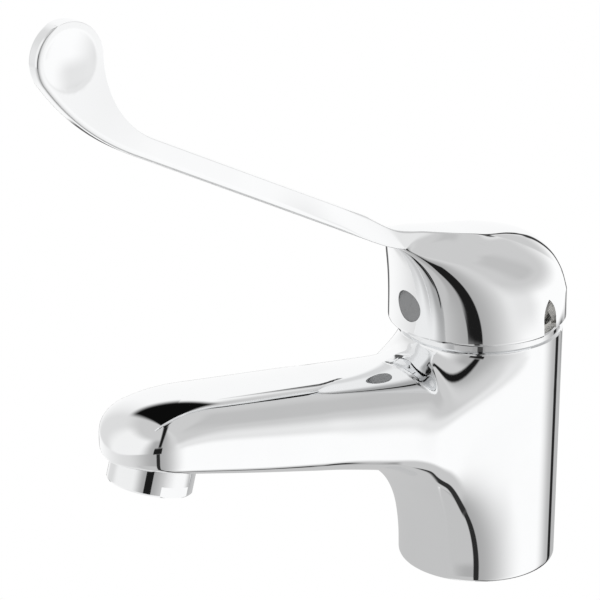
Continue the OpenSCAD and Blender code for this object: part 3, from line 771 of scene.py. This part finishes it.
def step(x, a, b):
    """0 where x is a and 1 where x is b, with soft ends."""
    node = nodes.new("ShaderNodeMapRange")
    node.interpolation_type = "SMOOTHSTEP"
    links.new(x, node.inputs["Value"])
    node.inputs["From Min"].default_value = min(a, b)
    node.inputs["From Max"].default_value = max(a, b)
    node.inputs["To Min"].default_value = 0.0 if a < b else 1.0
    node.inputs["To Max"].default_value = 1.0 if a < b else 0.0
    return node.outputs["Result"]


ahead = along((sin_d(camera_turn), -cos_d(camera_turn), 0))
aside = along((cos_d(camera_turn), sin_d(camera_turn), 0))
up = along((0, 0, 1))
turn = value("DEGREES", value("ARCTAN2", aside, ahead))
lift = value("DEGREES", value("ARCSINE", up))


def band(x, middle, half, soft):
    """1 within the band and 0 outside it."""
    away = value("ABSOLUTE", value("SUBTRACT", x, middle))
    return step(away, half + soft, half)


def both(*masks):
    """1 where all the masks are 1."""
    out = masks[0]
    for m in masks[1:]:
        out = value("MULTIPLY", out, m)
    return out


def paint(under, level, mask):
    """The level where the mask is 1 and what was there before where it is 0."""
    kept = value("MULTIPLY", under, value("SUBTRACT", 1.0, mask))
    return value("ADD", kept, value("MULTIPLY", level, mask))


def scaled(x, factor, base):
    """The base plus a factor times x."""
    return value("ADD", value("MULTIPLY", x, factor), base)


# Walls, which brighten away from the camera and are white behind
right_wall = scaled(step(turn, 4, 76), 0.62, near_level)
low_left = scaled(step(turn, -8, -66), 0.32, near_level)
low_left = paint(low_left, 1.0, step(turn, -60, -150))
high_left = scaled(step(turn, -12, -44), 0.52, near_level)
high_left = paint(high_left, 0.76, band(turn, -122, 8, 24))
left_wall = paint(low_left, high_left, step(lift, -20, -14))
light = paint(left_wall, right_wall, step(turn, -1, 1))
light = paint(light, 1.0, step(value("ABSOLUTE", turn), 150, 162))
# Ground on the right like its wall, greyer behind and straight below, with a dark gap
ground = paint(light, 0.5, step(turn, 98, 130))
ground = paint(ground, 0.02, band(turn, 138.5, 4, 3))
ground = paint(ground, 0.6, step(lift, -56, -66))
ground_right = both(step(lift, -18, -21), step(turn, 2, 8))
# Ground on the left: a grey part beside the camera
ground_left = both(step(lift, -27, -31), band(turn, -22, 16, 12))
# Right side and ceiling: greyer with height on the right, and higher up on the left
right_soft = both(step(lift, -21, -5), band(turn, 66, 6, 24))
right_high = both(step(lift, 2, 26), step(turn, 14, 60), step(turn, 163, 156))
right_band = both(band(lift, 42, 8, 8), step(turn, 70, 100), step(turn, 140, 120))
left_ceiling = both(step(lift, 38, 58), step(turn, 10, -10))
# Dark gaps behind: overhead on both sides, an upright line on the right and a low patch on the left
over_right = both(step(turn, 152, 158), step(lift, 40, 46))
over_left = both(step(turn, -130, -142), step(lift, 38, 46))
line_low = both(band(turn, 160, 2, 2), band(lift, -2, 18, 3))
line_high = both(band(turn, 162, 1.2, 1.4), band(lift, 26, 9, 3))
low_patch = both(band(turn, -170, 8, 5), band(lift, -28, 9, 4))
# Dark gap at the camera, which goes on narrower over the ground and overhead
sideways = value("DEGREES", value("ARCSINE", aside))
at_camera = both(band(turn, -1, 8.5, 1.5), step(lift, -22, -19.5), step(lift, 16, 4))
below_camera = both(band(turn, 1, 3.2, 1.5), step(lift, -19.5, -22), step(lift, -58, -52))
above_camera = both(band(sideways, 1, 2, 3), step(lift, 4, 20), step(ahead, -0.3, 0.0))
# Dark strip straight below, which starts from that gap and bends to the right
bent = value("ADD", sideways, scaled(step(ahead, 0.1, 0.6), 7, 0))
strip_below = both(band(bent, 7.5, 2.6, 1.5), step(lift, -50, -56))
# Dark ground behind on the right
ground_behind = both(band(turn, 146, 24, 6), step(lift, -30, -36), step(lift, -66, -62))
# Each region and its level, later ones over earlier ones
regions = (
    (ground_right, ground), (ground_left, 0.56),
    (right_soft, 0.83), (right_high, 0.63), (right_band, 0.55), (left_ceiling, 0.62),
    (over_right, 0.004), (over_left, 0.004), (line_low, 0.04), (line_high, 0.04), (low_patch, 0.12),
    (at_camera, 0.012), (below_camera, 0.025), (above_camera, 0.01),
    (strip_below, strip_level), (ground_behind, strip_level),
)
for region, level in regions:
    light = paint(light, level, region)
seen = nodes.new("ShaderNodeLightPath")
white = nodes.new("ShaderNodeMix")
white.data_type = "FLOAT"
links.new(seen.outputs["Is Camera Ray"], white.inputs[0])
links.new(light, white.inputs[2])
white.inputs[3].default_value = 1.0
sky = nodes.new("ShaderNodeBackground")
sky.inputs["Color"].default_value = (1, 1, 1, 1)
links.new(white.outputs[0], sky.inputs["Strength"])
links.new(sky.outputs["Background"], output.inputs["Surface"])

# White floor, which the chrome sees only as painted shade: a grey patch by the column and a dark strip under
# the spout, where the tap's shadow falls
floor_half, floor_z = 3000, -0.2
square = ((-1, -1), (1, -1), (1, 1), (-1, 1))
floor = mesh_object("floor", [(x * floor_half, y * floor_half, floor_z) for x, y in square], [(0, 1, 2, 3)])
pale = bpy.data.materials.new("floor_pale_painted_shade")
pale.use_nodes = True
nodes, links = pale.node_tree.nodes, pale.node_tree.links
nodes.clear()
output = nodes.new("ShaderNodeOutputMaterial")
coord = nodes.new("ShaderNodeTexCoord")


def measured(kind, direction):
    """Distance from the middle or along a direction on the floor."""
    node = nodes.new("ShaderNodeVectorMath")
    node.operation = kind
    links.new(coord.outputs["Object"], node.inputs[0])
    if direction:
        node.inputs[1].default_value = direction
    return node.outputs["Value"]


# Metres on the floor, from the middle of the base
away = measured("LENGTH", None)
aside = measured("DOT_PRODUCT", (cos_d(camera_turn), sin_d(camera_turn), 0))
across = measured("DOT_PRODUCT", (1, 0, 0))
forward = measured("DOT_PRODUCT", (0, -1, 0))
# Painted shade: a grey patch by the column, where the tap shades the floor
shade_patch = both(step(away, 0.115, 0.085), step(aside, -0.004, -0.010), step(across, 0.016, 0.012))
# Painted shadow: a dark strip under the spout, where the tap's shadow falls on the floor
shadow_strip = both(step(forward, 0.046, 0.052), step(forward, 0.135, 0.125), band(across, 0.016, 0.0035, 0.002))
plain = nodes.new("ShaderNodeEmission")
plain.inputs["Color"].default_value = (1, 1, 1, 1)
# Emission for the painted shade: grey over the patch, nearly black over the strip
shade_glow = nodes.new("ShaderNodeEmission")
shade_glow.inputs["Color"].default_value = (1, 1, 1, 1)
links.new(scaled(shadow_strip, strip_level - floor_shade_level, floor_shade_level), shade_glow.inputs["Strength"])
clear = nodes.new("ShaderNodeBsdfTransparent")
shade_or_clear = nodes.new("ShaderNodeMixShader")
links.new(value("MAXIMUM", shade_patch, shadow_strip), shade_or_clear.inputs["Fac"])
links.new(clear.outputs["BSDF"], shade_or_clear.inputs[1])
links.new(shade_glow.outputs["Emission"], shade_or_clear.inputs[2])
pick = nodes.new("ShaderNodeMixShader")
seen = nodes.new("ShaderNodeLightPath")
links.new(seen.outputs["Is Camera Ray"], pick.inputs["Fac"])
links.new(shade_or_clear.outputs["Shader"], pick.inputs[1])
links.new(plain.outputs["Emission"], pick.inputs[2])
links.new(pick.outputs["Shader"], output.inputs["Surface"])
floor.data.materials.append(pale)

# Camera at the photograph's angle

stand_away, stand_h = 800.0, 382.04
look_turn, look_down, look_roll, focal_px, frame_px, sensor_mm = 51.89, 20.54, -0.31, 2833.5, 600, 36
cam = bpy.data.cameras.new("camera")
cam.sensor_width = sensor_mm
cam.lens = focal_px / frame_px * cam.sensor_width
eye = bpy.data.objects.new("camera", cam)
bpy.context.scene.collection.objects.link(eye)
back = Vector((sin_d(look_turn) * cos_d(look_down), -cos_d(look_turn) * cos_d(look_down), sin_d(look_down)))
right = Vector((cos_d(look_turn), sin_d(look_turn), 0))
aim = Matrix((right, back.cross(right), back)).transposed()
eye.rotation_euler = (aim @ Matrix.Rotation(math.radians(look_roll), 3, "Z")).to_euler()
eye.location = Vector((sin_d(camera_turn) * stand_away, -cos_d(camera_turn) * stand_away, stand_h)) * MM
bpy.context.scene.camera = eye
bpy.context.scene.view_settings.view_transform = "Standard"
